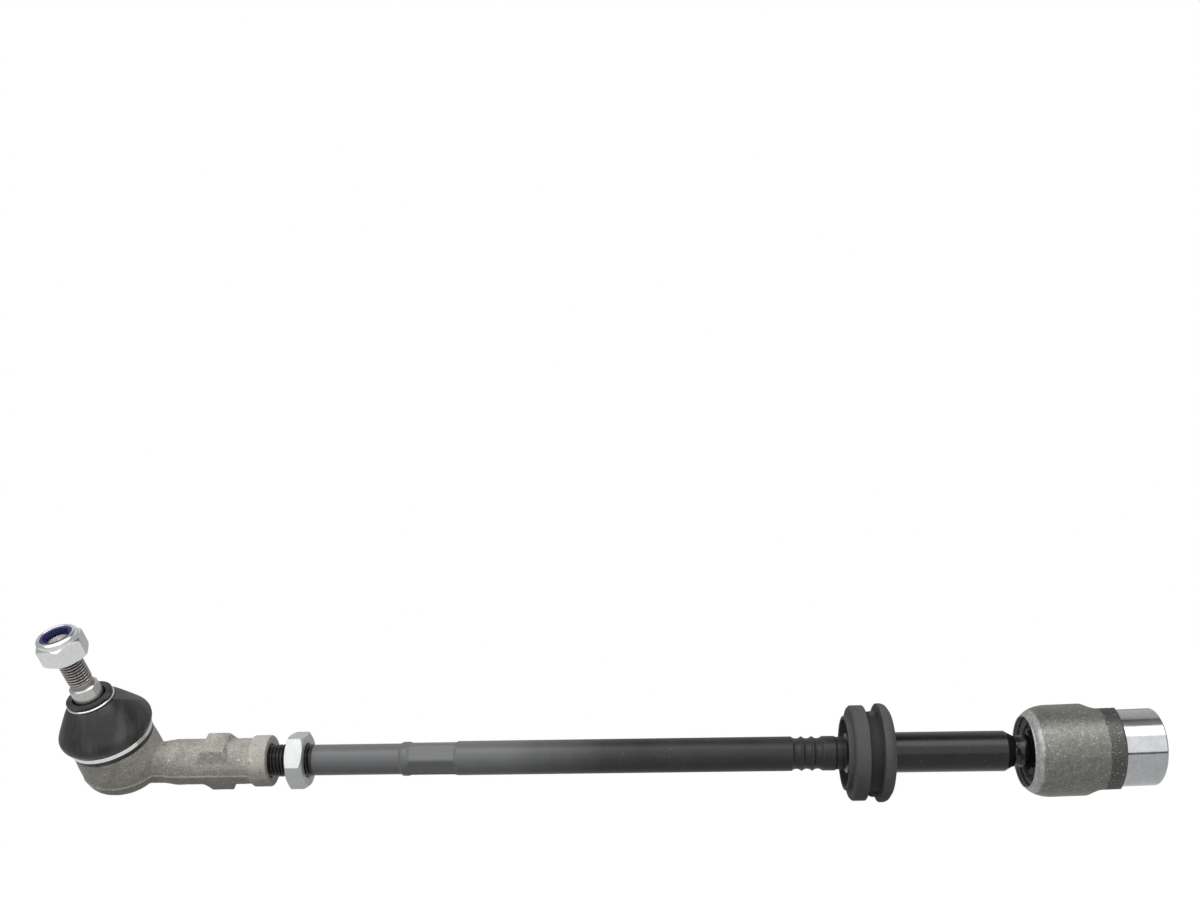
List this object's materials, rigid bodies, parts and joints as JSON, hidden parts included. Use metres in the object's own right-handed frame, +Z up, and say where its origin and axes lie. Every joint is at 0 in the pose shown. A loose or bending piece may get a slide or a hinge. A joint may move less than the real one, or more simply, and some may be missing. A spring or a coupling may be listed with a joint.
{
  "type": "tie rod end",
  "caption": "Steering tie rod: a threaded rack joint with a captive ball, a long adjustable bar with a bellows ring and lock nut, and a booted outer ball joint with a self-locking nut.",
  "frame": {"origin": "centre of the rack joint's threaded mouth, in the plane of the nose's end face", "axes": "+X out of the threaded mouth along the rack joint's axis, so the bar runs towards -X; +Z is up in the stored pose, with the outer stud up, away from the rack and towards -Y"},
  "size_m": [0.4585, 0.0723, 0.0858],
  "materials": {
    "rack_steel": "forged, oiled, nose turned bright",
    "forged_steel": "as forged, bare",
    "black_phosphate": "black, satin",
    "bright_zinc": "bright zinc plate",
    "stud_steel": "turned taper, rolled thread",
    "boot_rubber": "smooth moulded, faint sheen",
    "bellows_ring_rubber": "matte moulded",
    "clip_steel": "bright",
    "nylon": "navy, satin",
    "seat_plastic": "smooth, natural",
    "spring_steel": "dark, oiled"
  },
  "bodies": {
    "rack_joint": {"rack_joint_housing": "rack_steel", "rack_joint_front_shell": "spring_steel", "rack_joint_disc_spring": "spring_steel"},
    "rack_cup": {"rack_joint_rear_shell": "spring_steel"},
    "bar": {"tie_rod": "black_phosphate"},
    "bellows_ring": {"bellows_ring": "bellows_ring_rubber"},
    "lock_nut": {"lock_nut": "bright_zinc"},
    "outer_housing": {"outer_housing": "forged_steel", "outer_lower_shell": "seat_plastic", "outer_upper_shell": "seat_plastic", "outer_disc_spring": "spring_steel", "outer_retaining_ring": "spring_steel"},
    "boot": {"dust_boot": "boot_rubber", "boot_lower_clip": "clip_steel"},
    "boot_neck": {"boot_upper_clip": "clip_steel"},
    "stud": {"ball_stud": "stud_steel"},
    "nut_insert": {"stud_nut_insert": "nylon"},
    "stud_nut": {"stud_nut": "bright_zinc"}
  },
  "joints": [
    {"name": "rack_swivel", "type": "hinge", "parent": "rack_joint", "child": "rack_cup", "pos_m": [-0.0365, 0, 0], "axis": [1, 0, 0], "continuous": true},
    {"name": "rack_tilt", "type": "hinge", "parent": "rack_cup", "child": "bar", "pos_m": [-0.0365, 0, 0], "axis": [0, 1, 0], "range_deg": [-24, 21]},
    {"name": "bellows_ring_turn", "type": "hinge", "parent": "bar", "child": "bellows_ring", "pos_m": [-0.11797, 0, 0.00213], "axis": [0.9997, 0, -0.0262], "continuous": true},
    {"name": "toe_travel", "type": "slide", "parent": "bar", "child": "lock_nut", "axis": [0.9997, 0, -0.0262], "range_m": [-0.009, 0.002]},
    {"name": "toe_turn", "type": "hinge", "parent": "lock_nut", "child": "outer_housing", "pos_m": [-0.39987, 0, 0.00951], "axis": [0.9997, 0, -0.0262], "range_deg": [-2165, 485]},
    {"name": "stud_swivel", "type": "hinge", "parent": "outer_housing", "child": "boot", "pos_m": [-0.43758, -0.00332, 0.01419], "axis": [-0.1043, -0.664, 0.7404], "continuous": true},
    {"name": "stud_tilt", "type": "hinge", "parent": "boot", "child": "boot_neck", "pos_m": [-0.43758, -0.00332, 0.01419], "axis": [0.0175, 0.7431, 0.6689], "range_deg": [-20, 20], "deforming": ["dust_boot"]},
    {"name": "stud_spin", "type": "hinge", "parent": "boot_neck", "child": "stud", "pos_m": [-0.43758, -0.00332, 0.01419], "axis": [-0.1043, -0.664, 0.7404], "continuous": true},
    {"name": "nut_travel", "type": "slide", "parent": "stud", "child": "nut_insert", "axis": [-0.1043, -0.664, 0.7404], "range_m": [-0.0125, 0.00625]},
    {"name": "nut_turn", "type": "hinge", "parent": "nut_insert", "child": "stud_nut", "pos_m": [-0.44353, -0.04117, 0.0564], "axis": [-0.1043, -0.664, 0.7404], "range_deg": [-3610, 1810]}
  ],
  "couplings": [
    {"joint": "toe_turn", "follows": "toe_travel", "rad_per_m": 4188.8},
    {"joint": "nut_turn", "follows": "nut_travel", "rad_per_m": 5026.5}
  ]
}
